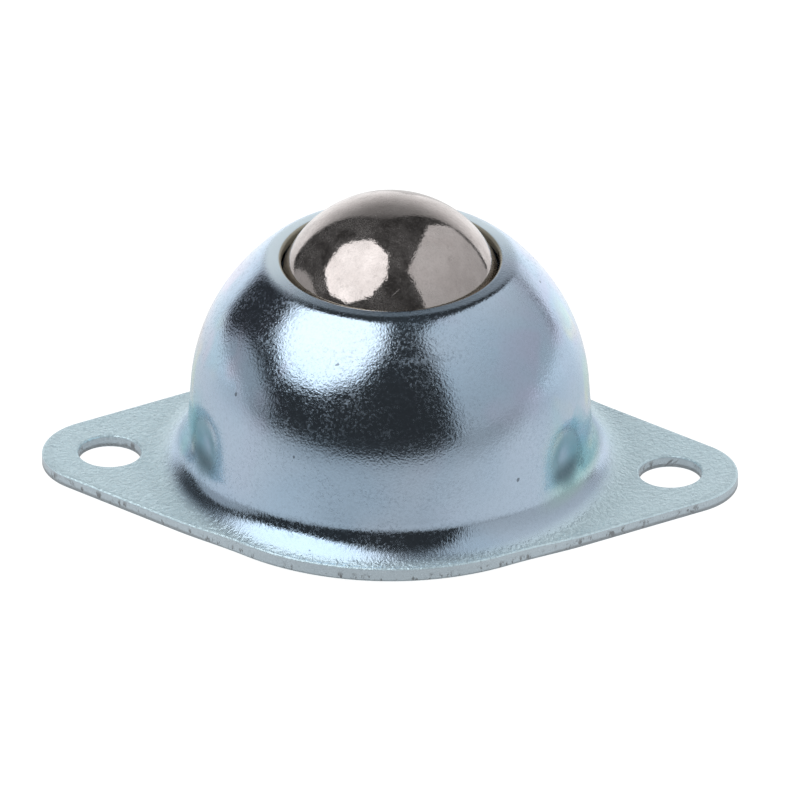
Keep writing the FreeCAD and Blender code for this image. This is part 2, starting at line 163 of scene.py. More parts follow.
def climb(points, radius, first, last, count):
    """Adds an arc that leaves the last point smoothly and turns from one slope to another."""
    x, z = points[-1]
    centre = on_arc(x, z, -radius, first)
    points += [on_arc(*centre, radius, a) for a in spread(first, last, count)]


def outer_section():
    """Outer side of the housing, from the lip's edge down to the foot bend."""
    wall_top = on_arc(DOME_OFFSET, DOME_HEIGHT, DOME_RADIUS, LEAN)
    wall_foot = on_arc(FOOT_CENTRE, FOOT_UP, -FOOT_BEND, LEAN)
    points = [wall_top]
    slope = LEAN
    for radius, end_slope, count in DOME_ARCS:
        climb(points, radius, slope, end_slope, count)
        slope = end_slope
    corner_x, corner_z = points[-1]
    lip_x = LIP_RADIUS + LIP_ROUND
    touch_x = lip_x + LIP_ROUND * math.cos(LAND)
    touch_z = corner_z + (corner_x - touch_x) / math.tan(LAND)
    lip_z = touch_z - LIP_ROUND * math.sin(LAND)
    points += on_line((corner_x, corner_z), (touch_x, touch_z), 4)
    points += [on_arc(lip_x, lip_z, LIP_ROUND, a) for a in spread(LAND, math.pi, 8)]
    points.reverse()
    return points + on_line(wall_top, wall_foot, 26)


def inner_section():
    """Inner side of the wall and dome, from the foot bend back to the lip's edge."""
    dome = DOME_RADIUS - SHEET
    shoulder = SHOULDER_RADIUS - SHEET
    shoulder_end = math.acos((LIP_RADIUS - SHOULDER_X) / shoulder)
    wall_foot = on_arc(FOOT_CENTRE, FOOT_UP, -(FOOT_BEND + SHEET), LEAN)
    wall_top = on_arc(DOME_OFFSET, DOME_HEIGHT, dome, LEAN)
    points = [wall_foot] + on_line(wall_foot, wall_top, 8)
    points += [on_arc(DOME_OFFSET, DOME_HEIGHT, dome, a) for a in spread(LEAN, SHOULDER_START, 16)]
    points += [on_arc(SHOULDER_X, SHOULDER_Z, shoulder, a)
               for a in spread(SHOULDER_START, shoulder_end, 6)]
    return points


def bend_radii(bend, first, last, count):
    """Distances from the axis that follow the foot bend's arc evenly, after the first one."""
    start = math.acos((FOOT_CENTRE - first) / bend)
    end = math.acos((FOOT_CENTRE - last) / bend)
    return [FOOT_CENTRE - bend * math.cos(turn) for turn in spread(start, end, count)]


def flange_section(angle):
    """Foot bend, flange, rolled-over edge and sheared face at one bearing."""
    upper_bend = FOOT_BEND
    lower_bend = FOOT_BEND + SHEET
    edge = outline(angle)
    rim = outline(angle, ROLLOVER)
    flat_from = min(FOOT_CENTRE, rim - ROLLOVER)
    above = bend_radii(upper_bend, FOOT_CENTRE - upper_bend * math.cos(LEAN), flat_from, 16)
    above += list(spread(flat_from, rim, 12))
    points = [(radius, flange_height(radius, upper_bend)) for radius in above]
    top = points[-1][1]
    for turn in spread(0, math.pi / 2, 5):
        drawn_in = ROLLOVER * (1 - math.sin(turn))
        points.append((outline(angle, drawn_in), top - ROLLOVER * (1 - math.cos(turn))))
    bottom = flange_height(edge - BURR, lower_bend)
    points += [(edge, level) for level in spread(top - ROLLOVER, bottom + BURR, 5)]
    points.append((outline(angle, BURR), bottom))
    below = list(spread(edge - BURR, flat_from, 5))
    below += bend_radii(lower_bend, flat_from, FOOT_CENTRE - lower_bend * math.cos(LEAN), 10)[:-1]
    return points + [(radius, flange_height(radius, lower_bend)) for radius in below]


def dent_push(x, y, z):
    """How far the punches have pressed the wall in at a point, towards the axis."""
    push = 0.0
    for bearing in DENT_BEARINGS:
        way_x, way_y = math.cos(bearing), math.sin(bearing)
        if x * way_x + y * way_y <= 0:
            continue
        across = (y * way_x - x * way_y) / DENT_WIDE
        along = (z - DENT_HEIGHT) / DENT_TALL
        push += DENT_DEPTH * math.exp(-across ** 2 - along ** 2)
    # the punch stops above the foot bend
    above = (z - DENT_FADE_LOW) / (DENT_FADE_HIGH - DENT_FADE_LOW)
    above = min(max(above, 0.0), 1.0)
    return push * above * above * (3 - 2 * above)


def new_piece(name, vertices, faces):
    mesh = bpy.data.meshes.new(name)
    mesh.from_pydata(vertices, [], faces)
    piece = bpy.data.objects.new(name, mesh)
    bpy.context.collection.objects.link(piece)
    return piece


def make_housing_mesh():
    """The sheet as one closed skin: rings of the section, swept round the axis."""
    outer = outer_section()
    inner = inner_section()
    vertices = []
    for step in range(SEGMENTS):
        angle = 2 * math.pi * step / SEGMENTS
        cos, sin = math.cos(angle), math.sin(angle)
        section = outer + flange_section(angle) + inner
        for radius, height in section:
            pressed = radius - dent_push(radius * cos, radius * sin, height)
            vertices.append((pressed * cos, pressed * sin, height))
    ring = len(vertices) // SEGMENTS
    faces = []
    for step in range(SEGMENTS):
        here = step * ring
        there = ((step + 1) % SEGMENTS) * ring
        for k in range(ring):
            n = (k + 1) % ring
            faces.append((here + k, here + n, there + n, there + k))
    piece = new_piece("housing_skin", vertices, faces)
    piece.data.validate()
    return piece


def make_punch(x):
    """The cutter of a fixing hole, flared where the punch rolls the upper edge over."""
    profile = [(hole_radius + BURR, -SHEET), (hole_radius + BURR, 0.0), (hole_radius, BURR)]
    for turn in np.linspace(0, FLARE_END, 6):
        flare = hole_radius + ROLLOVER * (1 - math.cos(turn))
        profile.append((flare, SHEET - ROLLOVER * (1 - math.sin(turn))))
    profile.append((profile[-1][0], 2 * SHEET))
    vertices = []
    for radius, height in profile:
        for step in range(HOLE_SEGMENTS):
            angle = 2 * math.pi * step / HOLE_SEGMENTS
            vertices.append((x + radius * math.cos(angle), radius * math.sin(angle), height))
    faces = []
    for level in range(len(profile) - 1):
        for step in range(HOLE_SEGMENTS):
            n = (step + 1) % HOLE_SEGMENTS
            low = level * HOLE_SEGMENTS
            high = low + HOLE_SEGMENTS
            faces.append((low + step, low + n, high + n, high + step))
    faces.append(tuple(reversed(range(HOLE_SEGMENTS))))
    last = (len(profile) - 1) * HOLE_SEGMENTS
    faces.append(tuple(range(last, last + HOLE_SEGMENTS)))
    return new_piece("hole_punch", vertices, faces)


def apply_modifiers(piece):
    graph = bpy.context.evaluated_depsgraph_get()
    mesh = bpy.data.meshes.new_from_object(piece.evaluated_get(graph))
    piece.modifiers.clear()
    old = piece.data
    piece.data = mesh
    bpy.data.meshes.remove(old)


def shade_smooth(piece, angle):
    mesh = piece.data
    mesh.polygons.foreach_set("use_smooth", [True] * len(mesh.polygons))
    mesh.update()
    edges = bmesh.new()
    edges.from_mesh(mesh)
    for edge in edges.edges:
        edge.smooth = len(edge.link_faces) == 2 and edge.calc_face_angle(0.0) < angle
    edges.to_mesh(mesh)
    edges.free()


def build_housing():
    piece = make_housing_mesh()
    punches = [make_punch(side * half_spacing) for side in (-1, 1)]
    for punch in punches:
        cut = piece.modifiers.new("punched", "BOOLEAN")
        cut.operation = "DIFFERENCE"
        cut.solver = "EXACT"
        cut.object = punch
    apply_modifiers(piece)
    for punch in punches:
        bpy.data.objects.remove(punch, do_unlink=True)
    shade_smooth(piece, SMOOTH_BELOW)
    return piece


# Materials

class Nodes:
    """A small helper that adds nodes to a tree and links them."""

    def __init__(self, tree):
        self.tree = tree
        self.tree.nodes.clear()

    def add(self, kind, **values):
        node = self.tree.nodes.new(kind)
        for name, value in values.items():
            setattr(node, name, value)
        return node

    def put(self, value, socket):
        if isinstance(value, bpy.types.NodeSocket):
            self.tree.links.new(value, socket)
        else:
            socket.default_value = value

    def surface(self, shader, output="ShaderNodeOutputMaterial"):
        """Links a shader to the tree's output."""
        self.put(shader, self.add(output).inputs["Surface"])

    def math(self, operation, a, b=0.0, clamp=False):
        node = self.add("ShaderNodeMath", operation=operation, use_clamp=clamp)
        self.put(a, node.inputs[0])
        self.put(b, node.inputs[1])
        return node.outputs[0]

    def product(self, *factors):
        made = factors[0]
        for factor in factors[1:]:
            made = self.math("MULTIPLY", made, factor)
        return made

    def vector(self, operation, a, b):
        node = self.add("ShaderNodeVectorMath", operation=operation)
        self.put(a, node.inputs[0])
        self.put(b, node.inputs[1])
        return node.outputs

    def split(self, vector):
        node = self.add("ShaderNodeSeparateXYZ")
        self.put(vector, node.inputs[0])
        return node.outputs

    def step(self, value, low, high):
        """0 below low, 1 above high, smooth between; low may be the larger."""
        node = self.add("ShaderNodeMapRange", interpolation_type="SMOOTHSTEP")
        if low < high:
            ends = (low, high, 0.0, 1.0)
        else:
            ends = (high, low, 1.0, 0.0)
        self.put(value, node.inputs["Value"])
        for name, end in zip(("From Min", "From Max", "To Min", "To Max"), ends):
            node.inputs[name].default_value = end
        return node.outputs["Result"]

    def mix(self, factor, a, b):
        """Mixes two colours."""
        node = self.add("ShaderNodeMix", data_type="RGBA")
        self.put(factor, node.inputs[0])
        self.put(a, node.inputs[6])
        self.put(b, node.inputs[7])
        return node.outputs[2]

    def blend(self, factor, a, b):
        """Mixes two numbers."""
        node = self.add("ShaderNodeMix", data_type="FLOAT")
        self.put(factor, node.inputs[0])
        self.put(a, node.inputs[2])
        self.put(b, node.inputs[3])
        return node.outputs[0]

    def lay(self, under, colour, strength, *masks):
        """Lays a colour over another where the masks meet."""
        return self.mix(self.product(*masks, strength), under, colour)

    def noise(self, place, scale, detail=2.0, rough=0.5, warp=0.0):
        node = self.add("ShaderNodeTexNoise")
        self.put(place, node.inputs["Vector"])
        node.inputs["Scale"].default_value = scale
        node.inputs["Detail"].default_value = detail
        node.inputs["Roughness"].default_value = rough
        node.inputs["Distortion"].default_value = warp
        return node.outputs["Fac"]

    def patches(self, place, scale, span, detail=2.0, rough=0.5, warp=0.0):
        """Patches of noise, which go from none to full over a span of its value."""
        return self.step(self.noise(place, scale, detail, rough, warp), *span)

    def bump(self, height, distance, strength=1.0, normal=None):
        node = self.add("ShaderNodeBump")
        self.put(height, node.inputs["Height"])
        node.inputs["Distance"].default_value = distance
        self.put(strength, node.inputs["Strength"])
        if normal is not None:
            self.put(normal, node.inputs["Normal"])
        return node.outputs["Normal"]


def new_material(name):
    material = bpy.data.materials.new(name)
    material.use_nodes = True
    nodes = Nodes(material.node_tree)
    shader = nodes.add("ShaderNodeBsdfPrincipled")
    return material, nodes, shader


def object_place(nodes):
    """Position in the object's own frame, which is the castor's frame at rest."""
    return nodes.add("ShaderNodeTexCoord").outputs["Object"]


# Colours of the plated sheet
STEEL_BLUE = (0.50, 0.66, 0.83, 1)
PALE_BLUE = (0.56, 0.69, 0.84, 1)
LAVENDER = (0.64, 0.65, 0.86, 1)
STRAW = (0.76, 0.84, 0.60, 1)
CYAN = (0.34, 0.72, 0.84, 1)
TEAL = (0.26, 0.60, 0.72, 1)
PINK = (0.80, 0.66, 0.82, 1)
LILAC = (0.58, 0.57, 0.78, 1)
# painted shade in the dents: a ring round the middle, and darker below it
DENT_RING_SHADE = (0.24, 0.46, 0.54, 1)
DENT_SHADE = (0.09, 0.15, 0.19, 1)
GRAIN_GREY = (0.36, 0.44, 0.53, 1)
SPECK_BLACK = (0.10, 0.12, 0.15, 1)
FLANGE_BLOOM = (0.75, 0.95, 1.0, 1)
PORE_GREY = (0.42, 0.52, 0.60, 1)
MILKY_BLOOM = (0.74, 0.87, 0.95, 1)
INNER_LIP_BROWN = (0.44, 0.42, 0.34, 1)
SHEARED_GREY = (0.53, 0.62, 0.68, 1)
# dark of the tear marks, and of the painted contact shadow along the sheared face's bottom
TEAR_AND_SHADOW_BLACK = (0.12, 0.11, 0.11, 1)

DENT_RADIUS = 17 * MM
GRAIN_RADIUS = 20 * MM
GRAIN_STRETCH = 0.40
SCUFF_HEIGHT = 20.08 * MM
FAR = 1.0


def swept_place(nodes, x, y, z, radius):
    """Place on the swept sheet for grain that is drawn out: round the axis, and along the section."""
    turn = nodes.math("DIVIDE", GRAIN_RADIUS, nodes.math("MAXIMUM", radius, MM))
    joined = nodes.add("ShaderNodeCombineXYZ")
    nodes.put(nodes.product(x, turn), joined.inputs[0])
    nodes.put(nodes.product(y, turn), joined.inputs[1])
    nodes.put(nodes.product(nodes.math("SUBTRACT", radius, z), GRAIN_STRETCH), joined.inputs[2])
    return joined.outputs[0]


def distance_to_dent(nodes, place):
    """Distance to the middle of the nearest dent."""
    nearest = FAR
    for bearing in DENT_BEARINGS:
        middle = (DENT_RADIUS * math.cos(bearing), DENT_RADIUS * math.sin(bearing), DENT_HEIGHT)
        apart = nodes.vector("DISTANCE", place, middle)["Value"]
        nearest = nodes.math("MINIMUM", apart, nearest)
    return nearest


def sheet_places(nodes):
    """Places on the housing, and masks that are 1 in a region of it and 0 outside."""
    place = object_place(nodes)
    x, y, z = nodes.split(place)
    radius = nodes.math("SQRT", nodes.math("ADD", nodes.product(x, x), nodes.product(y, y)))
    swept = swept_place(nodes, x, y, z, radius)
    from_dent = distance_to_dent(nodes, place)
    dent = nodes.step(from_dent, 4.2 * MM, 2.4 * MM)
    flange = nodes.step(z, 2.4 * MM, 1.3 * MM)

    normal_z = nodes.split(nodes.add("ShaderNodeNewGeometry").outputs["True Normal"])[2]
    upright = nodes.step(nodes.math("ABSOLUTE", normal_z), 0.5, 0.25)
    sheared = nodes.product(upright, nodes.step(radius, 20.6 * MM, 20.9 * MM))
    tears = nodes.patches(swept, 2000.0, (0.54, 0.64), detail=3.0, rough=0.7)
    torn_and_shadow = nodes.product(tears, nodes.step(z, 1.15 * MM, 0.6 * MM))
    # dark line along the bottom of the sheared face: partly tear marks, partly a painted contact shadow
    # where it meets the table
    torn_and_shadow = nodes.math("MAXIMUM", torn_and_shadow, nodes.product(nodes.step(z, 0.50 * MM, 0.22 * MM), 0.75))

    # the land round the lip is milky, but worn bright at the front
    top = nodes.step(z, 20 * MM, 21 * MM)
    land = nodes.product(nodes.step(radius, 12.4 * MM, 11.4 * MM), top)
    facing = nodes.math("SUBTRACT", y, nodes.product(x, 0.45))
    milky = nodes.product(land, nodes.step(facing, -9.0 * MM, 4.5 * MM))
    inside_lip = nodes.product(nodes.step(radius, 10.66 * MM, 10.50 * MM), top)
    return SimpleNamespace(
        place=place, x=x, z=z, radius=radius, swept=swept, from_dent=from_dent, dent=dent,
        flange=flange, sheared=sheared, torn_and_shadow=torn_and_shadow, milky=milky, inside_lip=inside_lip,
    )


def passivate(nodes, at):
    """Tint of the passivate: steel blue, with patches of lavender that fade down the wall."""
    drift = nodes.patches(at.place, 95.0, (0.35, 0.65), detail=1.0, warp=0.4)
    tint = nodes.mix(drift, STEEL_BLUE, PALE_BLUE)
    blush = nodes.patches(at.place, 120.0, (0.54, 0.74), warp=0.8)
    fading = nodes.blend(nodes.step(at.z, 14 * MM, 11 * MM), 1.0, 0.3)
    return nodes.lay(tint, LAVENDER, 0.35, blush, fading)


def end_films(nodes, at, tint):
    """Films of other colours at the two ends of the dome and the wall."""
    beside = nodes.math("ABSOLUTE", at.x)
    ends = nodes.product(
        nodes.step(beside, 14.5 * MM, 18.5 * MM),
        nodes.step(at.radius, 20.2 * MM, 19.2 * MM),
    )
    wall_ends = nodes.product(
        nodes.step(beside, 16.6 * MM, 18.2 * MM),
        nodes.step(at.z, 13 * MM, 10 * MM),
        nodes.step(at.z, 4.5 * MM, 6.5 * MM),
    )
    dome_left = nodes.product(
        nodes.step(at.x, -12.5 * MM, -15 * MM),
        nodes.step(at.z, 12.5 * MM, 14.5 * MM),
    )
    dome_right = nodes.product(
        nodes.step(at.x, 9 * MM, 14 * MM),
        nodes.step(at.z, 12.5 * MM, 15 * MM),
    )
    # each film: colour, strength, region, then its patches: scale, span, detail, warp
    films = (
        (STRAW, 0.85, ends, 160.0, (0.45, 0.62), 1.0, 0.3),
        (CYAN, 0.75, ends, 150.0, (0.42, 0.60), 1.0, 0.3),
        (TEAL, 0.5, wall_ends, 260.0, (0.34, 0.58), 2.0, 0.4),
        (PINK, 0.4, dome_left, 190.0, (0.46, 0.62), 1.0, 0.4),
        (LILAC, 0.45, dome_right, 170.0, (0.40, 0.62), 1.0, 0.5),
    )
    for colour, strength, region, scale, span, detail, warp in films:
        film = nodes.patches(at.place, scale, span, detail=detail, warp=warp)
        tint = nodes.lay(tint, colour, strength, film, region)
    return tint


def dent_painted_shade(nodes, at, tint):
    """Painted shade in the dents the punch pressed: a duller teal ring round the middle, and darker
    below it.
    """
    # painted shade: a darker ring round the dent's lighter middle
    ring = nodes.product(at.dent, nodes.step(at.from_dent, 1.0 * MM, 2.3 * MM))
    tint = nodes.lay(tint, DENT_RING_SHADE, 0.7, ring)
    # painted shade below the dent's middle
    shaded = nodes.product(at.dent, nodes.step(at.z, DENT_HEIGHT, 5.0 * MM))
    return nodes.lay(tint, DENT_SHADE, 0.85, shaded)


def plating_grain(nodes, at, tint):
    """Grey grain all over, and a few dark specks."""
    grain = nodes.patches(at.place, 3600.0, (0.42, 0.72), detail=3.0, rough=0.65)
    tint = nodes.lay(tint, GRAIN_GREY, 0.22, grain)
    specks = nodes.patches(at.place, 900.0, (0.79, 0.81), detail=1.0, rough=0.4)
    return nodes.lay(tint, SPECK_BLACK, 0.7, specks)


def flange_tint(nodes, at, tint):
    """Pale bloom on the flange, with darker pores in it."""
    tint = nodes.lay(tint, FLANGE_BLOOM, 0.75, at.flange)
    pores = nodes.patches(at.place, 3800.0, (0.45, 0.72), rough=0.6)
    return nodes.lay(tint, PORE_GREY, 0.35, pores, at.flange)


def lip_tint(nodes, at, tint):
    """Milky bloom on the land, and olive brown on the lip's inner side."""
    tint = nodes.mix(at.milky, tint, MILKY_BLOOM)
    # olive brown over the lip's inner side, beside the gap round the ball
    return nodes.mix(at.inside_lip, tint, INNER_LIP_BROWN)


def edge_tint(nodes, at, tint):
    """Sheared face: duller, with short dark tear marks along its lower half, and a dark line along its
    bottom that is partly tear marks and partly painted contact shadow.
    """
    edge = nodes.lay(SHEARED_GREY, TEAR_AND_SHADOW_BLACK, 0.7, at.torn_and_shadow)
    return nodes.mix(at.sheared, tint, edge)


def scuff_ring(nodes, at):
    """A short stretch of a scuffed ring below the land, right of the middle, left by the die."""
    from_ring = nodes.math("ABSOLUTE", nodes.math("SUBTRACT", at.z, SCUFF_HEIGHT))
    return nodes.product(
        nodes.step(from_ring, 0.42 * MM, 0.10 * MM),
        nodes.step(at.radius, 12.6 * MM, 13.2 * MM),
        nodes.step(at.x, 0.8 * MM, 2.6 * MM),
        nodes.step(at.x, 11 * MM, 6 * MM),
        nodes.patches(at.place, 3000.0, (0.40, 0.62), rough=0.6),
    )


def sheet_roughness(nodes, at):
    cloud = nodes.noise(at.place, 240.0, detail=3.0, rough=0.6)
    rough = nodes.blend(cloud, 0.07, 0.12)
    # worn grains scatter light into the dark reflections
    grains = nodes.patches(at.place, 3300.0, (0.42, 0.66), detail=3.0, rough=0.7)
    worn = nodes.product(grains, nodes.blend(nodes.step(cloud, 0.35, 0.65), 0.35, 0.80))
    foot_bend = nodes.step(at.z, 3.4 * MM, 2.2 * MM)
    regions = (
        (worn, 0.42),
        (scuff_ring(nodes, at), 0.40),
        (foot_bend, 0.25),
        (at.dent, 0.34),
        (at.milky, 0.40),
        (at.flange, 0.27),
        (at.sheared, 0.38),
    )
    for region, level in regions:
        rough = nodes.blend(region, rough, level)
    return rough


def sheet_normal(nodes, at):
    """Fine orange peel of the stretched sheet, drawn out along the section towards the foot."""
    lumps = nodes.noise(at.place, 1500.0, detail=1.0)
    peel = nodes.noise(at.place, 4600.0, rough=0.55)
    drawn = nodes.noise(at.swept, 4600.0, rough=0.6)
    ripple = nodes.noise(at.place, 2300.0, warp=0.6)
    foot = nodes.step(at.z, 6.0 * MM, 4.0 * MM)
    fine = nodes.blend(foot, peel, drawn)
    normal = nodes.bump(lumps, 0.008 * MM, 0.6)
    normal = nodes.bump(fine, 0.018 * MM, nodes.blend(at.flange, 1.0, 0.8), normal)
    normal = nodes.bump(ripple, 0.13 * MM, at.flange, normal)
    return nodes.bump(nodes.product(at.torn_and_shadow, -1.0), 0.05 * MM, at.sheared, normal)


def zinc_material():
    """Bright zinc with a bluish clear passivate, drawn and pressed, with sheared edges."""
    material, nodes, shader = new_material("zinc_plate")
    at = sheet_places(nodes)
    tint = passivate(nodes, at)
    # the dents' layer paints shade into them, and the sheared face's layer paints a contact shadow
    # along its bottom
    for layer in (end_films, dent_painted_shade, plating_grain, flange_tint, lip_tint, edge_tint):
        tint = layer(nodes, at, tint)
    nodes.put(tint, shader.inputs["Base Color"])
    bloom = nodes.math("MAXIMUM", nodes.product(at.flange, 0.62), nodes.product(at.milky, 0.72))
    nodes.put(nodes.math("SUBTRACT", 1.0, bloom), shader.inputs["Metallic"])
    nodes.put(sheet_roughness(nodes, at), shader.inputs["Roughness"])
    nodes.put(sheet_normal(nodes, at), shader.inputs["Normal"])
    nodes.surface(shader.outputs[0])
    return material


# Colours of the ball, and the ends of its scratch from the ball's centre
BALL_DARK = (0.55, 0.50, 0.485, 1)
BALL_PALE = (0.64, 0.59, 0.575, 1)
BALL_STAIN = (0.34, 0.31, 0.30, 1)
HAZE_GREY = (0.60, 0.57, 0.56, 1)
SCRATCH = ((0.825 * MM, -9.168 * MM, 6.226 * MM), (1.464 * MM, -8.751 * MM, 6.690 * MM))


def scratch_mask(nodes, place):
    """A short bright scratch between two points of the ball."""
    first, last = SCRATCH
    middle = [(a + b) / 2 for a, b in zip(first, last)]
    square = Vector(first).cross(Vector(last)).normalized()
    from_centre = nodes.vector("SUBTRACT", place, tuple(ball_centre))["Vector"]
    off_line = nodes.math("ABSOLUTE", nodes.vector("DOT_PRODUCT", from_centre, square)["Value"])
    along = nodes.vector("DISTANCE", from_centre, middle)["Value"]
    return nodes.product(
        nodes.step(off_line, 0.05 * MM, 0.02 * MM),
        nodes.step(along, 0.62 * MM, 0.40 * MM),
    )


def haze_shader(nodes, pits):
    """Worn specks that scatter the softbox over the dark reflections."""
    haze = nodes.add("ShaderNodeBsdfPrincipled")
    haze.inputs["Base Color"].default_value = HAZE_GREY
    haze.inputs["Metallic"].default_value = 1.0
    haze.inputs["Roughness"].default_value = 0.55
    nodes.put(nodes.bump(pits, 0.03 * MM, 0.8), haze.inputs["Normal"])
    return haze.outputs[0]


def haze_cover(nodes, place):
    """How much of the polish the haze covers: clouds and specks, and the scratch."""
    cloud = nodes.patches(place, 480.0, (0.35, 0.70), detail=3.0, rough=0.6)
    specks = nodes.patches(place, 4600.0, (0.42, 0.66), detail=3.0, rough=0.7)
    cover = nodes.math("ADD", nodes.blend(cloud, 0.01, 0.21), nodes.product(specks, 0.12))
    return nodes.math("MAXIMUM", cover, nodes.product(scratch_mask(nodes, place), 0.8))


def ball_material():
    """Polished steel under a thin haze: mottled, stained, with one short scratch."""
    material, nodes, shader = new_material("polished_steel")
    place = object_place(nodes)
    mottle = nodes.noise(place, 420.0, detail=4.0, rough=0.62, warp=0.3)
    tint = nodes.mix(nodes.step(mottle, 0.3, 0.7), BALL_DARK, BALL_PALE)
    stains = nodes.patches(place, 1300.0, (0.56, 0.74), detail=3.0, rough=0.7)
    nodes.put(nodes.lay(tint, BALL_STAIN, 0.4, stains), shader.inputs["Base Color"])
    shader.inputs["Metallic"].default_value = 1.0
    nodes.put(nodes.blend(mottle, 0.035, 0.07), shader.inputs["Roughness"])
    pits = nodes.noise(place, 3400.0, rough=0.6)
    normal = nodes.bump(nodes.noise(place, 900.0), 0.010 * MM, 0.6)
    nodes.put(nodes.bump(pits, 0.012 * MM, 0.6, normal), shader.inputs["Normal"])

    both = nodes.add("ShaderNodeMixShader")
    nodes.put(haze_cover(nodes, place), both.inputs[0])
    nodes.put(shader.outputs[0], both.inputs[1])
    nodes.put(haze_shader(nodes, pits), both.inputs[2])
    nodes.surface(both.outputs[0])
    return material


def plain_steel(name, colour, rough, scale):
    """Steel of the pieces inside: grainy, with an uneven sheen."""
    material, nodes, shader = new_material(name)
    grain = nodes.noise(object_place(nodes), scale, detail=4.0, rough=0.6)
    dark = tuple(0.72 * c for c in colour) + (1,)
    pale = tuple(colour) + (1,)
    nodes.put(nodes.mix(grain, dark, pale), shader.inputs["Base Color"])
    shader.inputs["Metallic"].default_value = 1.0
    nodes.put(nodes.blend(grain, rough * 0.7, rough * 1.3), shader.inputs["Roughness"])
    nodes.put(nodes.bump(grain, 0.01 * MM, 0.4), shader.inputs["Normal"])
    nodes.surface(shader.outputs[0])
    return material


def dress(node, material):
    mesh = frame["nodes"][node].data
    mesh.materials.clear()
    mesh.materials.append(material)


# Studio

def direction(azimuth, elevation):
    """Unit vector; azimuth 0 points at the camera's side (-Y) and 90 at +X."""
    a, e = math.radians(azimuth), math.radians(elevation)
    return Vector((math.sin(a) * math.cos(e), -math.cos(a) * math.cos(e), math.sin(e)))


SOFTBOX_DIRECTION = direction(-59, 53)
SOFTBOX_REACH = 0.57
SOFTBOX_BLUR = 0.02
SOFTBOX_TURN = math.radians(8)
PANEL_AZIMUTH = 82
BACKDROP_AZIMUTH = 180
BOARD_AZIMUTH = -95

# Strengths of light, where 1 is white
SOFTBOX_LIGHT = 1.6
PANEL_LOW = 0.504
PANEL_HIGH = 0.672
BACKDROP_LIGHT = 0.95
UPPER_LIGHT = 0.26
BOARD_LIGHT = 0.42
ROOM_LIGHT = 0.035
CEILING_LIGHT = 0.05
FILL_LIGHT = 0.85
TABLE_SIDE = 0.72
TABLE_FRONT = 0.46
TABLE_BEHIND = 1.18
TABLE_CORNERS = 0.84
TABLE_PAST_EDGE = 0.05
TABLE_SEEN = 0.93


class Sky(Nodes):
    """Nodes of the world, which look up a direction on walls round the castor."""

    def __init__(self, tree):
        super().__init__(tree)
        self.way = self.add("ShaderNodeTexCoord").outputs["Generated"]
        self.height = self.split(self.way)[2]

    def dot(self, vector):
        return self.vector("DOT_PRODUCT", self.way, vector)["Value"]

    def wall(self, azimuth):
        """A direction's place on an upright wall square to the azimuth: across, up and ahead."""
        square = direction(azimuth, 0)
        ahead = self.dot(square)
        depth = self.math("MAXIMUM", ahead, 0.02)
        across = self.math("DIVIDE", self.dot(UP.cross(square)), depth)
        return across, self.math("DIVIDE", self.height, depth), ahead


def softbox(sky):
    """A regular octagon on the plane square to its direction."""
    level = UP.cross(SOFTBOX_DIRECTION).normalized()
    level.rotate(Matrix.Rotation(SOFTBOX_TURN, 3, SOFTBOX_DIRECTION))
    upright = SOFTBOX_DIRECTION.cross(level)
    depth = sky.math("MAXIMUM", sky.dot(SOFTBOX_DIRECTION), 0.05)
    across = sky.math("ABSOLUTE", sky.math("DIVIDE", sky.dot(level), depth))
    along = sky.math("ABSOLUTE", sky.math("DIVIDE", sky.dot(upright), depth))
    slanted = sky.product(sky.math("ADD", across, along), math.sqrt(0.5))
    reach = sky.math("MAXIMUM", sky.math("MAXIMUM", across, along), slanted)
    return sky.step(reach, SOFTBOX_REACH + SOFTBOX_BLUR, SOFTBOX_REACH - SOFTBOX_BLUR)


def side_panel(sky):
    """Panel on the right, from its near edge round to a dark gap before the backdrop."""
    across, up, ahead = sky.wall(PANEL_AZIMUTH)
    near = sky.math("ADD", across, sky.product(up, 0.06))
    far = sky.math("SUBTRACT", across, sky.product(sky.math("MINIMUM", up, 1.15), 0.9))
    mask = sky.product(
        sky.step(near, -0.85, -0.76),
        sky.step(far, 1.28, 1.12),
        sky.step(up, 2.6, 2.35),
        sky.step(ahead, 0.1, 0.2),
    )
    return mask, sky.blend(sky.step(up, 0.05, 1.3), PANEL_LOW, PANEL_HIGH)


def backdrop(sky):
    """Light of the backdrop behind, palest at the table and fading upwards."""
    across, up, ahead = sky.wall(BACKDROP_AZIMUTH)
    right = sky.math("SUBTRACT", across, sky.product(up, 0.7))
    left = sky.math("ADD", across, sky.product(up, 0.5))
    mask = sky.product(
        sky.step(right, -0.99, -0.86),
        sky.step(left, 1.08, 0.90),
        sky.step(ahead, 0.2, 0.4),
    )
    lower = sky.product(sky.step(up, 0.76, -0.25), BACKDROP_LIGHT)
    upper = sky.product(sky.step(up, 1.75, 0.55), UPPER_LIGHT)
    return sky.product(mask, sky.math("ADD", lower, upper))


def left_board(sky):
    """A low pale board on the left, whose upper edge falls towards its ends."""
    across, up, ahead = sky.wall(BOARD_AZIMUTH)
    top = sky.math("ADD", up, sky.product(sky.math("POWER", across, 2.0), 0.9))
    return sky.product(
        sky.step(sky.math("ABSOLUTE", across), 0.66, 0.50),
        sky.step(top, 0.31, 0.25),
        sky.step(ahead, 0.1, 0.3),
    )


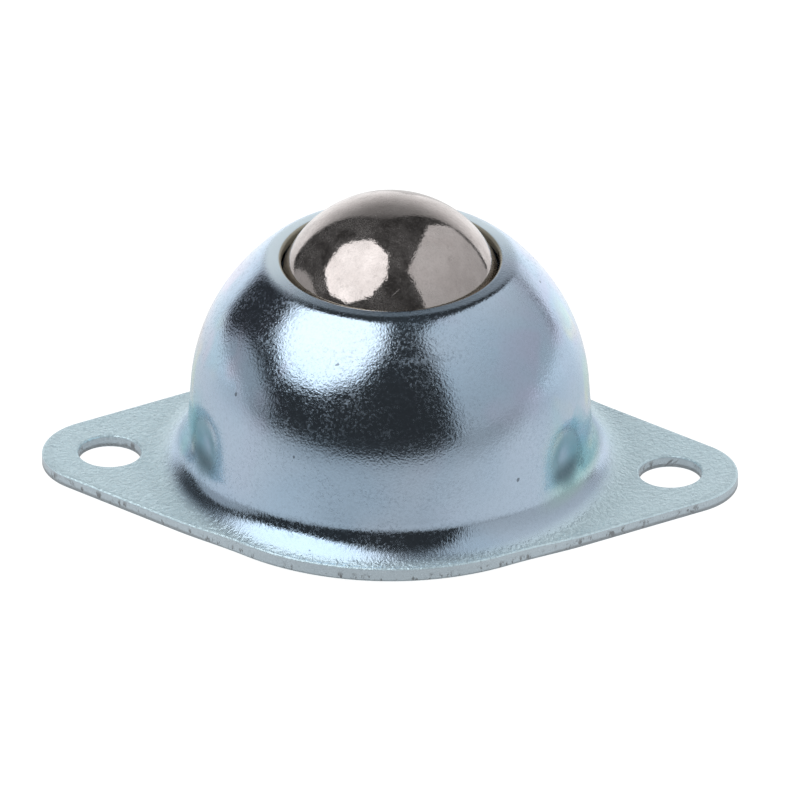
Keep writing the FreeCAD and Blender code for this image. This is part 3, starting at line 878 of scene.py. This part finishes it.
def make_world():
    """A white studio: octagonal softbox, side panel, board and backdrop in a dark room."""
    world = bpy.data.worlds.new("studio")
    world.use_nodes = True
    bpy.context.scene.world = world
    sky = Sky(world.node_tree)
    light = sky.blend(sky.step(sky.height, 0.8, 1.0), ROOM_LIGHT, CEILING_LIGHT)
    light = sky.blend(left_board(sky), light, BOARD_LIGHT)
    light = sky.math("ADD", light, backdrop(sky))
    panel, panel_light = side_panel(sky)
    light = sky.blend(panel, light, panel_light)
    light = sky.blend(softbox(sky), light, SOFTBOX_LIGHT)

    rays = sky.add("ShaderNodeLightPath").outputs
    light = sky.blend(rays["Is Diffuse Ray"], light, FILL_LIGHT)
    light = sky.blend(rays["Is Camera Ray"], light, 1.0)
    background = sky.add("ShaderNodeBackground")
    background.inputs["Color"].default_value = (1, 1, 1, 1)
    sky.put(light, background.inputs["Strength"])
    sky.surface(background.outputs[0], "ShaderNodeOutputWorld")


def table_light(nodes):
    """Light of the table in the metal's reflections, by the place on the table, with painted shade in
    front of the castor.
    """
    x, y = nodes.split(object_place(nodes))[:2]
    beside = nodes.math("ABSOLUTE", x)
    # dimmer in front of the castor: painted shade on the table there
    light = nodes.blend(nodes.step(y, -10 * MM, -60 * MM), TABLE_SIDE, TABLE_FRONT)
    light = nodes.product(light, nodes.blend(nodes.step(beside, 50 * MM, 130 * MM), 1.0, 0.82))
    # palest straight behind the castor
    aside = nodes.math("DIVIDE", beside, nodes.math("ADD", nodes.math("MAXIMUM", y, 0.0), 20 * MM))
    behind = nodes.blend(nodes.step(aside, 1.1, 0.25), TABLE_CORNERS, TABLE_BEHIND)
    light = nodes.blend(nodes.step(y, 5 * MM, 60 * MM), light, behind)
    # painted shadow: dimmer in a narrow strip through the castor, from close in front of it
    shadow_strip = nodes.product(nodes.step(y, -38 * MM, -24 * MM), nodes.step(beside, 17 * MM, 7 * MM))
    light = nodes.product(light, nodes.blend(shadow_strip, 1.0, 0.68))
    # the dark room beyond the front edge, which runs nearer to the camera on the right
    right = nodes.math("MAXIMUM", nodes.math("SUBTRACT", x, 40 * MM), 0.0)
    edge = nodes.math("ADD", y, nodes.product(right, 0.9))
    return nodes.blend(nodes.step(edge, -76 * MM, -100 * MM), light, TABLE_PAST_EDGE)


def table_material():
    """Plain white to the camera, with the castor's shadow, and lit in the metal's reflections."""
    material = bpy.data.materials.new("table_white")
    material.use_nodes = True
    nodes = Nodes(material.node_tree)
    rays = nodes.add("ShaderNodeLightPath").outputs
    seen = nodes.math("ADD", rays["Is Camera Ray"], rays["Is Transmission Ray"], clamp=True)
    glossy = nodes.product(rays["Is Glossy Ray"], nodes.math("SUBTRACT", 1.0, seen))
    glow = nodes.add("ShaderNodeEmission")
    glow.inputs["Color"].default_value = (1, 1, 1, 1)
    strength = nodes.blend(glossy, nodes.product(seen, TABLE_SEEN), table_light(nodes))
    nodes.put(strength, glow.inputs["Strength"])

    cloth = nodes.add("ShaderNodeBsdfDiffuse")
    cloth.inputs["Color"].default_value = (0.9, 0.9, 0.9, 1)
    faint = nodes.add("ShaderNodeMixShader")
    nodes.put(nodes.blend(glossy, nodes.blend(seen, 1.0, 0.25), 0.0), faint.inputs[0])
    nodes.put(cloth.outputs[0], faint.inputs[2])
    total = nodes.add("ShaderNodeAddShader")
    nodes.put(faint.outputs[0], total.inputs[0])
    nodes.put(glow.outputs[0], total.inputs[1])
    nodes.surface(total.outputs[0])
    return material


def make_floor():
    """White table top, just under the castor."""
    reach = 3.0
    corners = [(-reach, -reach, 0), (reach, -reach, 0), (reach, reach, 0), (-reach, reach, 0)]
    table = new_piece("table_top", corners, [(0, 1, 2, 3)])
    table.location.z = cad_low.z - 0.02 * MM
    table.data.materials.append(table_material())


def make_camera():
    """Camera fitted to the photograph: a long lens from the front, a little to the right."""
    place = Vector((115.98486, -1677.98296, 933.32594)) * MM
    yaw, pitch, roll = -0.0684449, 0.5030273, 0.0033925
    focal_pixels = 20232.28
    image_width = 800
    ahead = Vector((math.sin(yaw) * math.cos(pitch), math.cos(yaw) * math.cos(pitch), -math.sin(pitch)))
    right = ahead.cross(UP).normalized()
    up = right.cross(ahead)
    turned_right = right * math.cos(roll) + up * math.sin(roll)
    turned_up = up * math.cos(roll) - right * math.sin(roll)
    data = bpy.data.cameras.new("camera")
    data.sensor_width = 36.0
    data.lens = focal_pixels / image_width * data.sensor_width
    data.clip_start = 0.05
    data.clip_end = 20.0
    camera = bpy.data.objects.new("camera", data)
    turn = Matrix((turned_right, turned_up, -ahead)).transposed().to_4x4()
    camera.matrix_world = Matrix.Translation(place) @ turn
    bpy.context.collection.objects.link(camera)
    bpy.context.scene.camera = camera


bpy.context.scene.view_settings.view_transform = "Standard"
make_camera()
make_world()
make_floor()

housing = build_housing()
housing.data.materials.clear()
housing.data.materials.append(zinc_material())
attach(housing, "frame")
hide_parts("housing")

dress("main_ball", ball_material())
dress("closing_pan", plain_steel("pan_zinc", (0.62, 0.70, 0.80), 0.30, 900.0))
dress("race_cup", plain_steel("hardened_steel", (0.34, 0.32, 0.25), 0.38, 700.0))
bearing_steel = plain_steel("bearing_steel", (0.62, 0.61, 0.61), 0.12, 1500.0)
for name in frame["nodes"]:
    if name.startswith("load_ball"):
        dress(name, bearing_steel)
